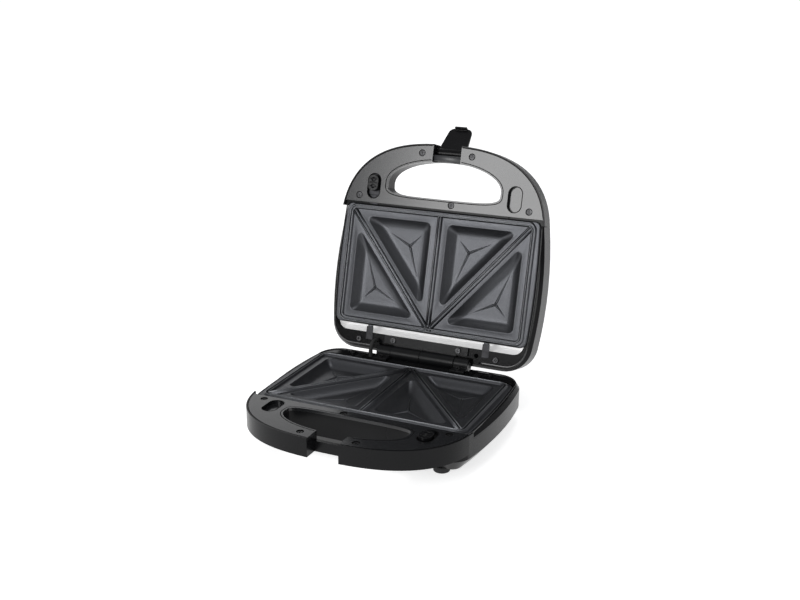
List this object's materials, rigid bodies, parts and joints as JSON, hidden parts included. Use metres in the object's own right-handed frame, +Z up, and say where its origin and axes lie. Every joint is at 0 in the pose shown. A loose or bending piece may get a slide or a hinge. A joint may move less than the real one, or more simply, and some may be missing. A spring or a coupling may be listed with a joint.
{
  "type": "sandwich toaster",
  "caption": "Hinged countertop sandwich toaster with two lift-out triangle-pocket plates, ring handles, a latch flap and release slides.",
  "frame": {"origin": "on the floor plane under the feet, at the centre of the open toaster's footprint", "axes": "+X to the toaster's right seen from the handle side, +Y from the handle to the hinge and the open lid, +Z up"},
  "size_m": [0.2398, 0.3301, 0.2806],
  "materials": {
    "shell": "semi-gloss black moulding",
    "frame": "gloss black moulding",
    "panel": "gloss dark grey moulding",
    "coated_plate": "dark non-stick coating on cast aluminium, fine sparkle",
    "bright_sheet": "bright rolled sheet",
    "heater_sheath": "heat-darkened steel sheath",
    "zinc_steel": "zinc plated",
    "spring_steel": "spring steel strip",
    "screw_steel": "plated pan-head screws",
    "hinge_plastic": "black moulding",
    "latch_plastic": "gloss black moulding",
    "knob_plastic": "gloss black moulding",
    "foot_rubber": "matt black rubber",
    "lead_sleeve": "woven fibreglass sleeve, black",
    "ceramic": "unglazed steatite",
    "terminal_plastic": "natural polyamide",
    "lens": "tinted clear plastic",
    "neon_glass": "clear glass"
  },
  "bodies": {
    "base": {"base_shell": "shell", "base_frame": "frame", "base_panel": "panel", "base_reflector": "bright_sheet", "base_heater": "heater_sheath", "base_heater_clips": "zinc_steel", "base_thermostat": "ceramic", "base_thermal_fuse": "bright_sheet", "terminal_block": "terminal_plastic", "cord_gland": "latch_plastic", "base_panel_screws": "screw_steel", "base_frame_screws": "screw_steel", "feet": "foot_rubber", "foot_screws": "screw_steel", "base_hinge_left": "hinge_plastic", "base_hinge_right": "hinge_plastic", "base_hinge_screws": "screw_steel", "hinge_pin": "zinc_steel", "base_plate_catch": "spring_steel", "base_rear_clips": "spring_steel", "hinge_lead": "lead_sleeve", "base_release_spring": "spring_steel"},
    "lid": {"lid_shell": "shell", "lid_frame": "frame", "lid_panel": "panel", "lid_reflector": "bright_sheet", "lid_heater": "heater_sheath", "lid_heater_clips": "zinc_steel", "lid_panel_screws": "screw_steel", "lid_frame_screws": "screw_steel", "lid_hinge_bracket": "hinge_plastic", "lid_hinge_screws": "screw_steel", "lid_plate_catch": "spring_steel", "lid_rear_clips": "spring_steel", "lamp_lenses": "lens", "neon_lamps": "neon_glass", "latch_pin": "zinc_steel", "lid_release_spring": "spring_steel"},
    "base_plate": {"base_plate": "coated_plate"},
    "lid_plate": {"lid_plate": "coated_plate"},
    "base_knob": {"base_release_knob": "knob_plastic", "base_release_slide": "zinc_steel"},
    "lid_knob": {"lid_release_knob": "knob_plastic", "lid_release_slide": "zinc_steel"},
    "latch": {"latch_flap": "latch_plastic"}
  },
  "joints": [
    {"name": "lid_hinge", "type": "hinge", "parent": "base", "child": "lid", "pos_m": [0, 0.065, 0.045], "axis": [-1, 0, 0], "range_deg": [-105, 0], "deforming": ["hinge_lead"]},
    {"name": "latch_hinge", "type": "hinge", "parent": "lid", "child": "latch", "pos_m": [0, 0.13572, 0.25485], "axis": [-1, 0, 0], "range_deg": [-135, 0]},
    {"name": "base_plate_lift", "type": "slide", "parent": "base", "child": "base_plate", "axis": [0, 0, 1], "range_m": [0, 0.03], "deforming": ["base_plate_catch", "base_rear_clips"]},
    {"name": "lid_plate_lift", "type": "slide", "parent": "lid", "child": "lid_plate", "axis": [0, -0.9659, 0.2588], "range_m": [0, 0.03], "deforming": ["lid_plate_catch", "lid_rear_clips"]},
    {"name": "base_release", "type": "slide", "parent": "base", "child": "base_knob", "axis": [0, 1, 0], "range_m": [0, 0.0065], "stiffness_N_per_m": 200, "springref_m": -0.002, "deforming": ["base_release_spring"]},
    {"name": "lid_release", "type": "slide", "parent": "lid", "child": "lid_knob", "axis": [0, -0.2588, -0.9659], "range_m": [0, 0.0065], "stiffness_N_per_m": 200, "springref_m": -0.002, "deforming": ["lid_release_spring"]}
  ]
}
